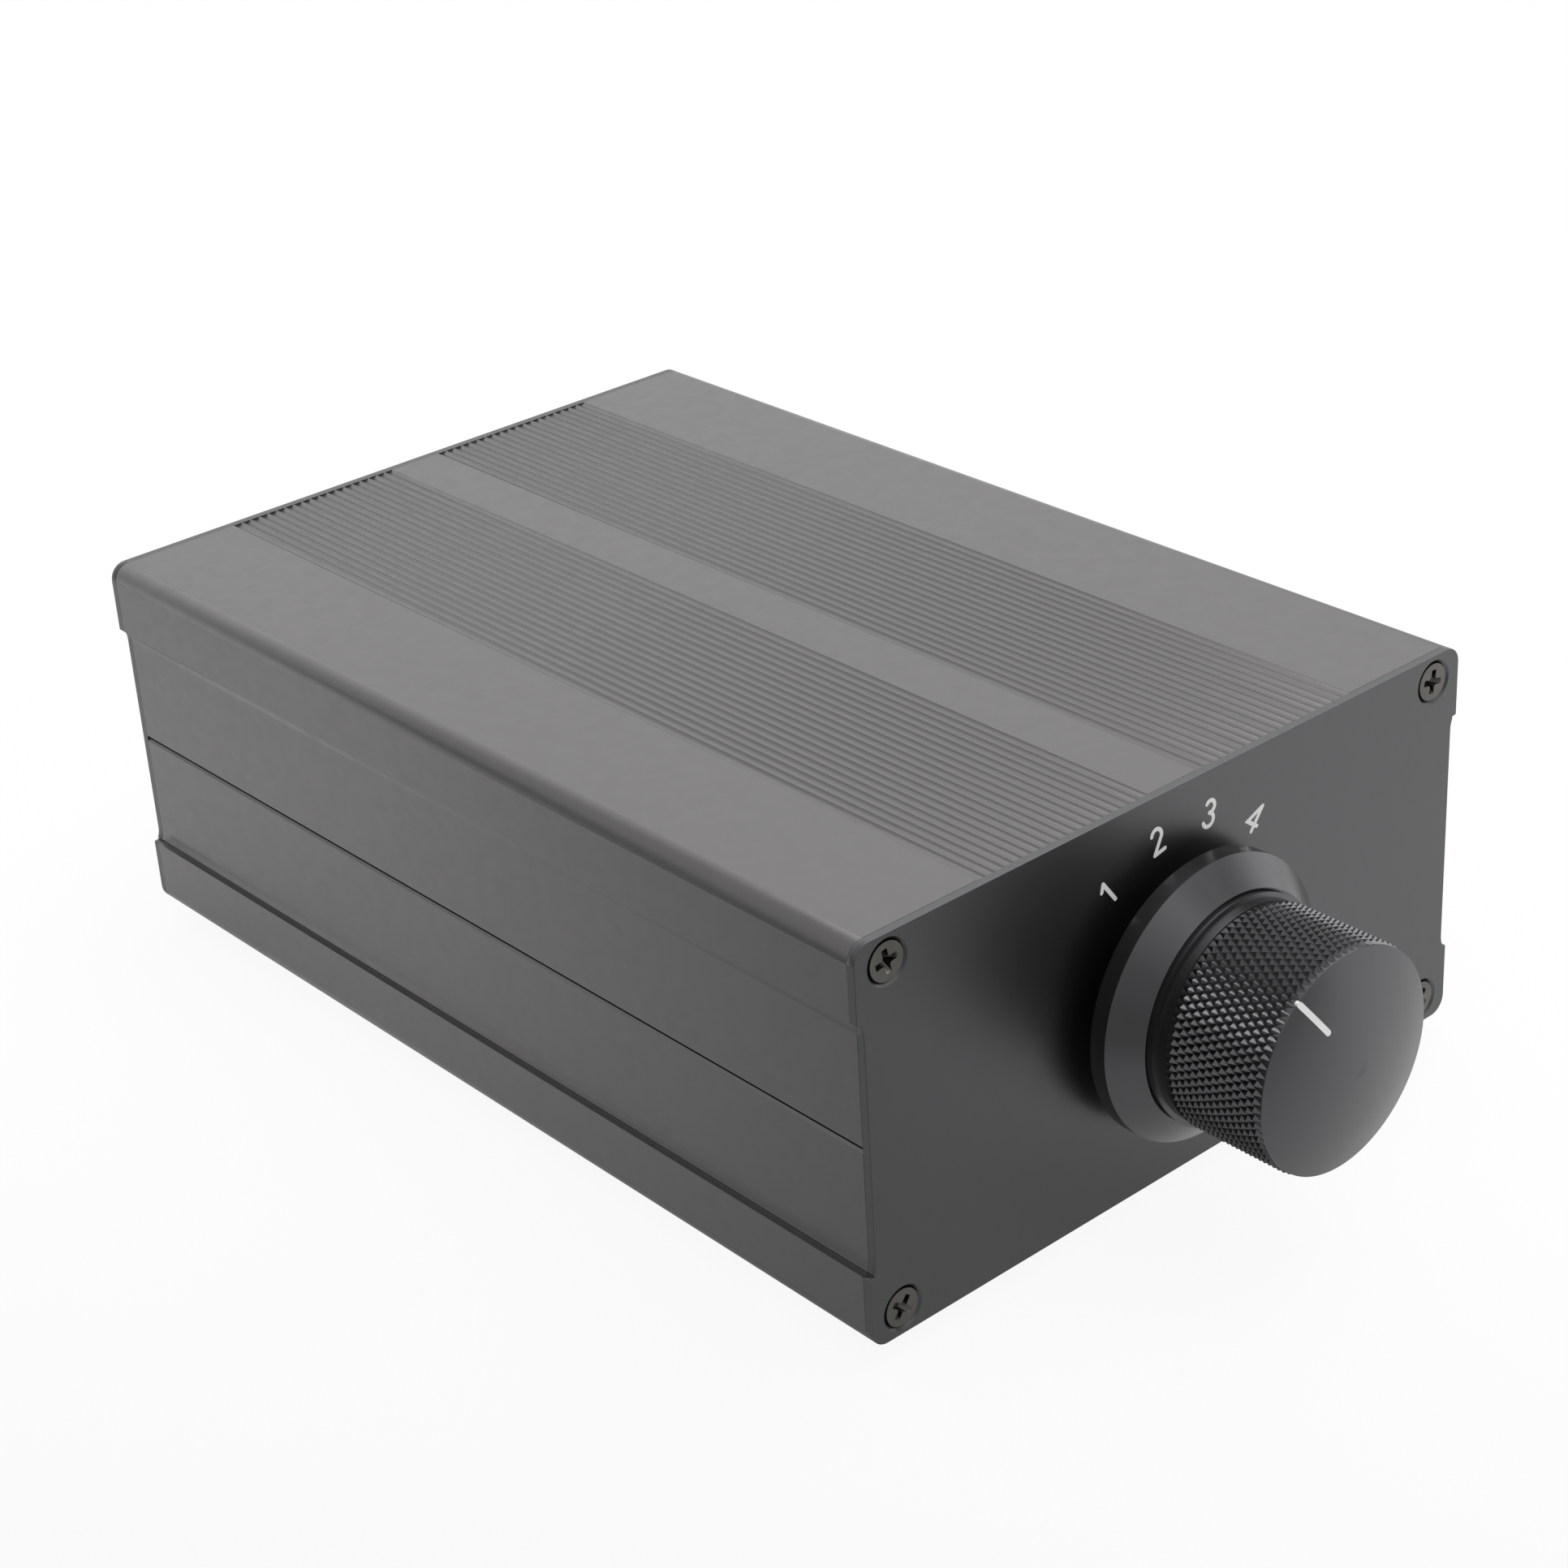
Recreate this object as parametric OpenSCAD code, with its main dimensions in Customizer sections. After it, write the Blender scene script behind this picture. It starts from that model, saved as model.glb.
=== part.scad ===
// Audio source selector. The case is two halves of one extrusion, turned face to face,
// with a screwed plate at each end. A four position rotary switch with a knurled knob
// sits in the front plate and ten phono sockets sit in the rear plate.
// Millimetres. The front faces -Y and up is +Z. The origin lies under the middle of the
// whole part, on the surface that the feet stand on.

/* [Case] */
// Width of the case
case_w = 106; // [98:1:130]
// Height of the case
case_h = 55; // [50:0.5:66]
// Length of the two extruded shells
shell_len = 155; // [120:1:220]
// Thickness of each end plate
plate_t = 1.2; // [1:0.1:1.5]
// Radius of the four long outer edges
corner_r = 2.4; // [1.2:0.1:3]
// Thickness of the side walls
side_wall = 1.8; // [1.5:0.1:2.4]
// Thickness of the top and bottom walls
roof_wall = 1.9; // [1.6:0.1:2.6]
// Depth of the recess along both sides
recess = 1; // [0.7:0.05:1.4]
// Height of the full width band above and below the recess
band_h = 10.1; // [7:0.1:13]
// Width of the cove at the foot of the shoulder
shoulder_w = 0.3; // [0.2:0.02:0.4]
// Radius of the cove at the foot of the shoulder
cove_r = 3.4; // [3:0.1:4]
// Height of the small riser between the cove and the ledge of the shoulder
shoulder_riser = 0.35; // [0.2:0.05:0.5]
// Fall of the ledge from the band to the riser
ledge_fall = 0.1; // [0.05:0.05:0.3]
// Gap seen between the two shells
split_gap = 0.55; // [0.3:0.05:0.9]
// Bevel on the tongued edge of each shell
split_bevel = 0.3; // [0.2:0.05:0.6]

/* [Extrusion details] */
// Thickness that the lip along the split adds inside the wall
lip_in = 0.6; // [0.4:0.1:1.2]
// Height of the lip above the split
lip_h = 4.2; // [3.2:0.1:6]
// Thickness of the tongue
tongue_t = 1.1; // [0.8:0.1:1.3]
// How far the tongue stands out of its own shell
tongue_len = 2; // [1.2:0.1:2.6]
// Sideways clearance of the tongue
tongue_side_gap = 0.1; // [0.05:0.05:0.2]
// Clearance at the tip of the tongue
tongue_end_gap = 0.2; // [0.1:0.05:0.4]
// Height of the card guide above the split
guide_v = 7; // [6:0.5:11]
// Slot width of the card guide
guide_gap = 1.8; // [1.2:0.1:2.4]
// Thickness of each card guide rib
guide_t = 1; // [0.8:0.1:1.6]
// Length of each card guide rib
guide_len = 2.2; // [1.5:0.1:3]
// Number of flutes in each fluted band
flute_count = 19; // [5:1:21]
// Distance between neighbouring flutes
flute_pitch = 1.5; // [1.4:0.05:1.6]
// Distance of the first flute from the middle
flute_start = 5; // [3:0.5:8]
// Radius of each flute
flute_r = 1.3; // [1.2:0.05:1.5]
// Depth of each flute at its middle
flute_depth = 0.22; // [0.16:0.02:0.3]

/* [Case screws] */
// Distance of the screws from the sides of the case
screw_side = 5; // [4.8:0.1:6]
// Distance of the screws from the top and bottom of the case
screw_edge = 3.7; // [3.5:0.1:4.4]
// Radius of the screw thread
thread_r = 1.45; // [1.2:0.05:1.6]
// Radius of the screw head
head_r = 2.55; // [2.4:0.05:2.7]
// Height of the straight rim of the screw head
head_rim = 0.4; // [0.2:0.05:0.45]
// Radius of the countersink at the face of the plate
sink_r = 3.1; // [3.05:0.05:3.3]
// Length of the screw
screw_len = 10; // [6:0.5:16]
// Wall around each screw channel
channel_wall = 1.4; // [1.1:0.1:1.8]
// Width of the slit along each screw channel
channel_slit = 1.2; // [0.8:0.1:1.8]
// Width of the cross recess
cross_w = 0.85; // [0.7:0.05:0.95]
// Length of the cross recess
cross_len = 3.4; // [2.8:0.1:3.6]
// Depth of the cross recess
cross_depth = 1.3; // [0.9:0.1:1.5]
// Angle of the cross in the front screw at the upper left
cross_a = 11; // [0:1:89]
// Angle of the cross in the front screw at the upper right
cross_b = 81; // [0:1:89]
// Angle of the cross in the front screw at the lower left
cross_c = 54; // [0:1:89]
// Angle of the cross in the front screw at the lower right
cross_d = 51; // [0:1:89]

/* [Feet] */
// Radius of each foot
foot_r = 5; // [4:0.5:5.5]
// Height of each foot
foot_h = 3; // [2:0.5:5]
// Distance of the middle of each foot from the sides of the case
foot_side = 12; // [11.5:0.5:13]
// Distance of the middle of each foot from the front and rear of the case
foot_end = 14; // [10:1:30]

/* [Knob] */
// Gap between the front plate and the knob
knob_gap = 2.9; // [2.8:0.1:4]
// Radius of the skirt
skirt_r = 19; // [17.5:0.5:21]
// Height of the straight rim of the skirt
rim_h = 2.6; // [1.5:0.1:4]
// Break on the edges of the rim
rim_break = 0.2; // [0.1:0.05:0.4]
// Radius of the collar above the cone
collar_r = 15.6; // [15.4:0.1:16]
// Width of the groove above the cone
groove_w = 0.35; // [0.2:0.05:0.6]
// Depth of the groove above the cone
groove_d = 0.5; // [0.3:0.05:0.8]
// Height of the ridge above the groove
ridge_h = 0.35; // [0.2:0.05:0.6]
// Height of the plain neck below the knurl
neck_h = 1.4; // [0.8:0.1:2.5]
// Radius of the knurl at its tips
knurl_r = 15; // [14:0.1:15.2]
// Depth of the knurl
knurl_d = 0.5; // [0.3:0.05:0.7]
// Number of diamonds around the knurl
knurl_n = 80; // [60:1:90]
// Number of steps along the knurl, two to a diamond
knurl_rows = 14; // [10:1:16]
// Length of one step along the knurl
knurl_step = 1.075; // [0.9:0.025:1.2]
// Height of the domed end
dome_h = 2.6; // [1.5:0.05:3.5]
// Height of the straight edge around the domed end
dome_rim = 0.15; // [0.1:0.05:0.3]
// Width of the pointer line
pointer_w = 0.8; // [0.6:0.05:1.2]
// Depth of the pointer line
pointer_d = 0.4; // [0.2:0.05:0.8]
// Distance of the inner end of the pointer line from the axis
pointer_in = 8.2; // [4:0.05:10]
// Radius of the recess in the back of the knob
well_r = 8.5; // [8:0.1:11]
// Depth of the recess in the back of the knob
well_d = 3.7; // [3.3:0.1:5]
// Clearance of the bore past the end of the shaft
bore_spare = 1; // [0.5:0.1:2]
// Radius of the grub screw
grub_r = 1.5; // [1:0.1:2]
// Length of the grub screw
grub_len = 5; // [4:0.5:8]
// Distance of the grub screw from the start of the knurl
grub_z = 4; // [3:0.5:8]

/* [Switch] */
// Number of positions
positions = 4; // [2:1:5]
// Angle between neighbouring positions
step_angle = 24; // [22:1:26]
// Radius of the switch shaft
shaft_r = 3; // [2.8:0.1:3.2]
// Depth of the flat on the shaft
shaft_flat = 0.5; // [0.3:0.1:0.8]
// Length of the shaft in front of the plate
shaft_out = 22; // [18:0.5:22.5]
// Radius of the threaded bush
bush_r = 4.7; // [4.4:0.1:5]
// Length of the bush in front of the plate
bush_out = 5; // [4:0.1:5]
// Width of the nut across its flats
nut_af = 12.7; // [12:0.1:13.4]
// Thickness of the nut
nut_t = 2; // [1.6:0.1:2.2]
// Radius of the washer
washer_r = 7.5; // [7:0.1:9]
// Thickness of the washer
washer_t = 0.5; // [0.3:0.1:0.6]
// Radius of the switch body
body_r = 15; // [14.6:0.1:18]
// Radius of the space inside the switch body
cavity_r = 11.5; // [11:0.1:11.8]
// Thickness of the mounting plate of the switch
mount_t = 1.8; // [1.4:0.1:2.6]
// Length of the switch body
body_len = 14; // [13.5:0.5:18]
// Thickness of the contact wafer
wafer_t = 1.6; // [1.2:0.1:2.4]
// Distance of the locating pin from the axis
pin_at = 10; // [9.5:0.1:12]
// Radius of the locating pin
pin_r = 1; // [0.8:0.1:1.3]
// Radius of the clip on the shaft
clip_r = 4.4; // [4:0.1:4.6]
// Thickness of the clip on the shaft
clip_t = 0.6; // [0.4:0.1:0.8]
// Radius of the detent ball
ball_r = 1.4; // [1.2:0.05:1.5]
// Gap between the ball and the wall that it runs on
ball_gap = 0.15; // [0.1:0.05:0.25]
// Depth of the detent notches in the wall
notch_d = 0.4; // [0.2:0.05:0.6]
// Wire radius of the detent spring
spring_wire = 0.2; // [0.15:0.05:0.25]
// Number of turns of the detent spring
spring_turns = 5; // [3:1:7]
// Distance of the outer contacts from the axis
contact_at = 9; // [8.6:0.1:9.4]
// Distance of the middle contacts from the axis
common_at = 4.6; // [4.4:0.1:5]
// Length of the solder tails behind the wafer
tail_len = 3.4; // [2:0.1:6]
// Distance of the rivets from the axis
rivet_at = 13.3; // [13.2:0.1:13.4]
// Radius of the rivets
rivet_r = 0.8; // [0.6:0.1:0.9]

/* [Sockets] */
// Number of socket columns, one for each input and one for the output
jack_columns = 5; // [2:1:5]
// Distance between socket columns
jack_pitch = 18; // [15:0.5:18.5]
// Distance between the two rows of sockets
jack_row = 20; // [16:0.5:24]
// Radius of the socket sleeve
sleeve_r = 4.15; // [4.1:0.05:4.2]
// Length of the socket sleeve in front of its flange
sleeve_len = 8; // [7:0.1:10]
// Thickness of the sleeve wall
sleeve_wall = 0.8; // [0.6:0.05:0.9]
// Width of the hexagonal flange across its flats
flange_af = 11; // [10.4:0.1:12]
// Thickness of the flange
flange_t = 2.2; // [1.5:0.1:3]
// Radius of the threaded stem
stem_r = 3.75; // [3.7:0.05:3.9]
// Length of the threaded stem behind the plate
stem_len = 5.8; // [4.8:0.1:8]
// Radius of the coloured ring
ring_r = 6.6; // [6.4:0.1:7]
// Thickness of the coloured ring
ring_t = 1.2; // [0.8:0.1:2]
// Shoulder of the ring that fills the hole in the plate
ring_step = 0.8; // [0.6:0.1:1.2]
// Radius of the socket of the centre contact
pin_bore_r = 1.65; // [1.62:0.01:1.7]
// Depth of the socket of the centre contact
pin_bore_len = 8.4; // [7:0.1:8.6]
// Length of the solid part of the centre contact behind its socket
contact_root = 3; // [2:0.5:3.5]
// Wall of the centre contact
contact_wall = 0.5; // [0.35:0.05:0.6]
// How far the insulator lies below the end of the sleeve
face_in = 0.5; // [0.3:0.1:1]
// Thickness of the insulator in front of the centre contact
face_t = 0.6; // [0.4:0.1:1]
// Thickness of the insulating washer behind the plate
pad_t = 0.8; // [0.5:0.1:1.2]
// Thickness of the ground tag
tag_t = 0.4; // [0.3:0.1:0.6]
// Thickness of the socket nut
jack_nut_t = 2.2; // [1.6:0.1:2.6]
// Width of the socket nut across its flats
jack_nut_af = 10; // [9.6:0.1:11]
// Radius of the solder pin of the centre contact
solder_r = 0.9; // [0.7:0.1:1.1]
// Distance that the solder pin reaches behind the plate
solder_len = 11; // [9:0.5:14]

/* [Wiring] */
// Radius of the insulated wires
wire_r = 0.65; // [0.5:0.05:0.8]
// Radius of the bare ground wire
bus_r = 0.6; // [0.4:0.05:0.8]
// Distance that the ground wire reaches past the outer tags
bus_spare = 2; // [1:0.5:3]
// Distance of the first right wire below the axis
wire_drop = 8; // [6:0.5:9]
// Distance between the right wires in height
wire_spread = 4.5; // [3:0.5:4.5]
// Gap filled by each solder joint
solder_gap = 0.05; // [0.03:0.01:0.1]

/* [Fits] */
// Radial clearance of the shaft in its bush
running_gap = 0.05; // [0.03:0.01:0.08]
// Radial clearance of pieces that slide together and stay
slip_gap = 0.05; // [0.03:0.01:0.1]
// Clearance of the screw threads in the screw channels
thread_gap = 0.05; // [0.03:0.01:0.1]
// Clearance under the head of each case screw
seat_gap = 0.03; // [0.02:0.01:0.06]
// Gap between the moving and the fixed contacts of the switch
contact_gap = 0.1; // [0.05:0.01:0.15]

/* [Hidden] */
$fn = 48;

// The case
half_w = case_w / 2;
half_h = case_h / 2;
side_x = half_w - recess;
band_v = half_h - band_h;
shoulder_v = band_v - ledge_fall - shoulder_riser;
cove_v = shoulder_v - sqrt(cove_r * cove_r - pow(cove_r - shoulder_w, 2));
inner_x = side_x - side_wall;
inner_v = half_h - roof_wall;
lip_x = inner_x - lip_in;
channel_r = thread_r + thread_gap;
channel_x = half_w - screw_side;
channel_v = half_h - screw_edge;
mouth_r = max(channel_r, sink_r - plate_t);
head_cone = sink_r - head_r - seat_gap;
head_sink = head_cone - head_rim;
case_len = shell_len + 2 * plate_t;

// The knob, measured along its axis from the face of the front plate
rim_z = knob_gap + rim_h;
cone_z = rim_z + skirt_r - collar_r;
ridge_z = cone_z + groove_w;
neck_z = ridge_z + ridge_h;
neck_r = knurl_r - 0.6 * knurl_d;
knurl_z = neck_z + neck_h;
dome_z = knurl_z + knurl_rows * knurl_step;
knob_end = dome_z + dome_h;
crown_h = dome_h - dome_rim;
dome_r = (neck_r * neck_r + crown_h * crown_h) / (2 * crown_h);
dome_c = knob_end - dome_r;
well_z = knob_gap + well_d;
knurl_sink = 0.05;

// The sockets, measured outward from the face of the rear plate
flange_z = ring_t;
sleeve_z = flange_z + flange_t;
sleeve_end = sleeve_z + sleeve_len;
core_r = sleeve_r - sleeve_wall;
contact_r = pin_bore_r + contact_wall;
contact_end = sleeve_end - face_in - face_t;
stem_hole_r = stem_r + slip_gap;
panel_hole_r = stem_hole_r + ring_step;
pad_z = -plate_t;
tag_z = pad_z - pad_t;
jack_nut_z = tag_z - tag_t;

// The whole part: front and rear plate faces, and the height of the axis
front_reach = knob_end;
rear_reach = sleeve_end;
y_front = -case_len / 2 + (front_reach - rear_reach) / 2;
y_rear = y_front + case_len;
z_mid = foot_h + half_h;

// The switch, measured inward from the face of the front plate
mount_z = plate_t + mount_t;
wafer_z = mount_z + body_len;
wafer_back = wafer_z + wafer_t;
tail_back = wafer_back + tail_len;
button_t = 0.45;
wiper_t = 0.4;
rotor_front = mount_z + 0.15;
rotor_back = wafer_z - button_t - contact_gap - button_t - wiper_t;
rotor_r = cavity_r - 0.9;
ball_at = cavity_r - ball_gap - ball_r;
pocket_r = ball_r + slip_gap;
detent_z = rotor_front + pocket_r + 1;
detent_back = detent_z + pocket_r + 1;
pocket_in = 4.6;
notch_step = step_angle;
first_angle = -(positions - 1) / 2 * step_angle;
hub_r = 6;
lug_half = 12;
stop_half = 8;
stop_play = 0.6;
lug_z = detent_back + 0.8;
lug_t = 2.4;
clip_z = bush_out + 0.1;
clip_groove_r = shaft_r - 0.5;
flat_y = shaft_r - shaft_flat;

// Points and helpers
function jack_x(i) = (i - (jack_columns - 1) / 2) * jack_pitch;
function mix3(a, b, c, d, t) =
  a * pow(1 - t, 3) + 3 * b * pow(1 - t, 2) * t + 3 * c * (1 - t) * t * t + d * t * t * t;
function unit(v) = v / norm(v);

// Places its children on the switch axis: local +Z points out of the front
module on_axis() {
  translate([0, y_front, z_mid]) rotate([90, 0, 0]) children();
}

// Turns its children with the selector, which rests at the first position
module on_selector() {
  on_axis() rotate([0, 0, -first_angle]) children();
}

// Places its children at a clockwise angle from the top, seen from the front
module at_angle(a, r) {
  rotate([0, 0, -a]) translate([0, r, 0]) children();
}

// Places its children at a socket: local +Z points out of the rear
module at_jack(i, row) {
  translate([jack_x(i), y_rear, z_mid + row * jack_row / 2]) rotate([-90, 0, 0]) children();
}

// A tube along a list of points, its rings square to the path
module tube(path, r, sides) {
  n = len(path);
  dir = [for (i = [0:n - 1]) unit(path[min(i + 1, n - 1)] - path[max(i - 1, 0)])];
  pts = [for (i = [0:n - 1]) let (d = dir[i], u = unit(cross([0, 0, 1], d)), w = cross(d, u))
    for (k = [0:sides - 1]) path[i] + r * (cos(k * 360 / sides) * u + sin(k * 360 / sides) * w)];
  skin = [for (i = [0:n - 2], k = [0:sides - 1], h = [0, 1])
    let (a = i * sides + k, b = i * sides + (k + 1) % sides)
    h == 0 ? [a, a + sides, b] : [b, a + sides, b + sides]];
  ends = [[for (k = [0:sides - 1]) k], [for (k = [0:sides - 1]) n * sides - 1 - k]];
  polyhedron(points = pts, faces = concat(skin, ends));
}

// The extrusion, seen from the front, its split at the bottom and the fluted wall on top
module half_outline(low) {
  ledge_x = side_x + shoulder_w;
  difference() {
    polygon([[-side_x, low], [side_x, low], [side_x, cove_v],
      [ledge_x, cove_v], [ledge_x, shoulder_v + shoulder_riser],
      [half_w, band_v], [half_w, half_h - corner_r], [half_w - corner_r, half_h],
      [corner_r - half_w, half_h], [-half_w, half_h - corner_r], [-half_w, band_v],
      [-ledge_x, shoulder_v + shoulder_riser], [-ledge_x, cove_v], [-side_x, cove_v]]);
    for (s = [-1, 1]) intersection() {
      translate([s * (side_x + cove_r), cove_v]) circle(cove_r);
      translate([s * side_x - recess, cove_v]) square([2 * recess, shoulder_v + shoulder_riser / 2 - cove_v]);
    }
  }
  for (s = [-1, 1]) translate([s * (half_w - corner_r), half_h - corner_r]) circle(corner_r);
}

module guides() {
  for (s = [-1, 1], g = [0, 1])
    translate([s > 0 ? inner_x - guide_len : -inner_x - 0.2, guide_v + g * (guide_t + guide_gap)])
      square([guide_len + 0.2, guide_t]);
}

module channel_walls() {
  for (s = [-1, 1]) {
    translate([s * channel_x, channel_v]) circle(channel_r + channel_wall);
    translate([s > 0 ? channel_x : -inner_x - 0.2, channel_v])
      square([inner_x - channel_x + 0.2, inner_v - channel_v + 0.2]);
  }
}

module channels() {
  for (s = [-1, 1]) translate([s * channel_x, channel_v]) {
    circle(channel_r);
    rotate(s > 0 ? 225 : 315) translate([0, -channel_slit / 2])
      square([channel_r + channel_wall + 1, channel_slit]);
  }
}

module flutes() {
  for (s = [-1, 1], i = [0:flute_count - 1])
    translate([s * (flute_start + i * flute_pitch), half_h + flute_r - flute_depth])
      circle(flute_r, $fn = 32);
}

module shell_section() {
  low = split_gap / 2;
  difference() {
    union() {
      difference() {
        half_outline(low);
        translate([-inner_x, low - 1]) square([2 * inner_x, inner_v - low + 1]);
      }
      channel_walls();
      guides();
      for (s = [-1, 1]) translate([s > 0 ? lip_x : -inner_x - 0.2, low]) square([lip_in + 0.2, lip_h]);
      translate([lip_x, low - tongue_len]) square([tongue_t, tongue_len + 0.5]);
    }
    channels();
    flutes();
    translate([-lip_x - tongue_t - tongue_side_gap, low - 1])
      square([tongue_t + tongue_side_gap + 0.5, tongue_len - 2 * low + tongue_end_gap + 1]);
    polygon([[side_x - split_bevel - 0.5, low - 0.5], [side_x + 0.5, low - 0.5],
      [side_x + 0.5, low + split_bevel + 0.5]]);
  }
}

module half_shell() {
  difference() {
    linear_extrude(shell_len) shell_section();
    if (mouth_r > channel_r)
      for (s = [-1, 1]) translate([s * channel_x, channel_v, 0]) {
        cylinder(h = mouth_r - channel_r, r1 = mouth_r, r2 = channel_r);
        translate([0, 0, shell_len - mouth_r + channel_r])
          cylinder(h = mouth_r - channel_r, r1 = channel_r, r2 = mouth_r);
      }
  }
}

module top_shell() {
  color("#4a4a4c") translate([0, y_rear - plate_t, z_mid]) rotate([90, 0, 0]) half_shell();
}

module bottom_shell() {
  color("#4a4a4c") translate([0, y_rear - plate_t, z_mid]) rotate([90, 180, 0]) half_shell();
}

// An end plate with its four countersunk holes, its outer face at the top
module end_plate() {
  difference() {
    linear_extrude(plate_t) union() {
      half_outline(0);
      rotate(180) half_outline(0);
    }
    for (sx = [-1, 1], sv = [-1, 1]) translate([sx * channel_x, sv * channel_v, plate_t])
      rotate([180, 0, 0]) {
        cylinder(h = plate_t, r1 = sink_r, r2 = sink_r - plate_t);
        translate([0, 0, -1]) cylinder(h = plate_t + 2, r = thread_r + 0.15);
      }
  }
}

module front_panel() {
  color("#434345") on_axis() difference() {
    translate([0, 0, -plate_t]) end_plate();
    translate([0, 0, -plate_t - 1]) cylinder(h = plate_t + 2, r = bush_r + slip_gap);
    translate([0, -pin_at, -plate_t - 1]) cylinder(h = plate_t + 2, r = pin_r + slip_gap);
  }
}

module rear_panel() {
  color("#434345") difference() {
    translate([0, y_rear - plate_t, z_mid]) rotate([-90, 0, 0]) end_plate();
    for (i = [0:jack_columns - 1], row = [-1, 1]) at_jack(i, row)
      translate([0, 0, -plate_t - 1]) cylinder(h = plate_t + 2, r = panel_hole_r + slip_gap);
  }
}

// A countersunk screw with a cross recess, the face of its plate at height 0
module case_screw(angle) {
  difference() {
    union() {
      translate([0, 0, -head_cone - head_r + thread_r])
        cylinder(h = head_r - thread_r, r1 = thread_r, r2 = head_r);
      translate([0, 0, -head_cone]) cylinder(h = head_rim, r = head_r);
      translate([0, 0, -screw_len]) cylinder(h = screw_len - head_sink - 0.5, r = thread_r);
    }
    translate([0, 0, -head_sink - cross_depth]) rotate([0, 0, angle]) intersection() {
      union() {
        for (a = [0, 90]) rotate([0, 0, a]) translate([-head_r, -cross_w / 2, 0])
          cube([2 * head_r, cross_w, cross_depth + 1]);
        cylinder(h = cross_depth + 1, r = 0.9 * cross_w);
      }
      union() {
        cylinder(h = cross_depth, r1 = cross_len / 2 - cross_w, r2 = cross_len / 2);
        translate([0, 0, cross_depth]) cylinder(h = 1, r = cross_len / 2);
      }
    }
  }
}

module front_screws() {
  color("#2c2c2e") on_axis() {
    translate([-channel_x, channel_v, 0]) case_screw(cross_a);
    translate([channel_x, channel_v, 0]) case_screw(cross_b);
    translate([-channel_x, -channel_v, 0]) case_screw(cross_c);
    translate([channel_x, -channel_v, 0]) case_screw(cross_d);
  }
}

module rear_screws() {
  color("#2c2c2e") translate([0, y_rear, z_mid]) rotate([-90, 0, 0])
    for (sx = [-1, 1], sv = [-1, 1]) translate([sx * channel_x, sv * channel_v, 0])
      case_screw(25 + 20 * sx + 5 * sv);
}

module feet() {
  color("#151515") for (sx = [-1, 1], y = [y_front + foot_end, y_rear - foot_end])
    translate([sx * (half_w - foot_side), y, 0]) rotate_extrude()
      polygon([[0, 0], [foot_r - 0.9, 0], [foot_r - 0.4, 0.5], [foot_r, foot_h], [0, foot_h]]);
}

// The knurl: diamonds whose tips and crossings alternate around and along the grip
module knurl() {
  m = 2 * knurl_n;
  root = knurl_r - knurl_d;
  last = knurl_rows;
  function radius(i, j) = (i + j) % 2 == 1 ? root : (j == 0 || j == last) ? root + 0.1 * knurl_d : knurl_r;
  function height(j) = knurl_z + j * knurl_step + (j == 0 ? -knurl_sink : j == last ? knurl_sink : 0);
  pts = [for (j = [0:last], i = [0:m - 1]) let (a = i * 360 / m, r = radius(i, j))
    [r * sin(a), r * cos(a), height(j)]];
  upper = [for (j = [0:knurl_rows - 1], i = [0:m - 1], h = [0, 1]) if ((i + j) % 2 == 0)
    h == 0 ? [j * m + i, j * m + (i + 1) % m, (j + 1) * m + i]
      : [j * m + i, (j + 1) * m + i, j * m + (i + m - 1) % m]];
  lower = [for (j = [1:knurl_rows], i = [0:m - 1], h = [0, 1]) if ((i + j) % 2 == 0)
    h == 0 ? [j * m + i, j * m + (i + m - 1) % m, (j - 1) * m + i]
      : [j * m + i, (j - 1) * m + i, j * m + (i + 1) % m]];
  ends = [[for (i = [0:m - 1]) m - 1 - i], [for (i = [0:m - 1]) knurl_rows * m + i]];
  polyhedron(points = pts, faces = concat(upper, lower, ends));
}

// The turned body of the knob below the knurl
module knob_base() {
  rotate_extrude($fn = 96) polygon([[0, knob_gap], [skirt_r - rim_break, knob_gap],
    [skirt_r, knob_gap + rim_break], [skirt_r, rim_z - rim_break / 2], [skirt_r - rim_break / 2, rim_z],
    [collar_r, cone_z - rim_break / 2], [collar_r - groove_d, cone_z - rim_break / 2],
    [collar_r - groove_d, ridge_z], [collar_r - 0.3, ridge_z], [collar_r - 0.3, neck_z],
    [neck_r, neck_z + 0.1], [neck_r, knurl_z], [0, knurl_z]]);
}

// What lies below the domed surface, sunk by a depth, out to a radius and down to a level
module under_dome(sunk, reach, level) {
  rotate_extrude($fn = 96) intersection() {
    translate([0, dome_c]) circle(dome_r - sunk, $fn = 720);
    translate([0, level]) square([reach, knob_end + 1 - level]);
  }
}

// The groove that the pointer line fills: round at its inner end and open or round at its outer end
module pointer_bar(open) {
  inner = pointer_in + pointer_w / 2;
  outer = open ? skirt_r : neck_r - pointer_w / 2;
  translate([0, 0, dome_z - 1]) {
    translate([0, inner, 0]) cylinder(h = dome_h + 2, r = pointer_w / 2);
    translate([-pointer_w / 2, inner, 0]) cube([pointer_w, outer - inner, dome_h + 2]);
    translate([0, outer, 0]) cylinder(h = dome_h + 2, r = pointer_w / 2);
  }
}

module knob() {
  color("#3b3b3d") on_selector() difference() {
    union() {
      knob_base();
      knurl();
      under_dome(0, neck_r, dome_z);
    }
    translate([0, 0, knob_gap - 1]) cylinder(h = well_d + 1, r = well_r);
    cylinder(h = shaft_out + bore_spare, r = shaft_r + slip_gap);
    translate([0, 0, knurl_z + grub_z]) rotate([90, 0, 0]) cylinder(h = skirt_r, r = grub_r + slip_gap);
    difference() {
      pointer_bar(true);
      under_dome(pointer_d, skirt_r + 1, dome_z - 2);
    }
  }
}

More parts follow.
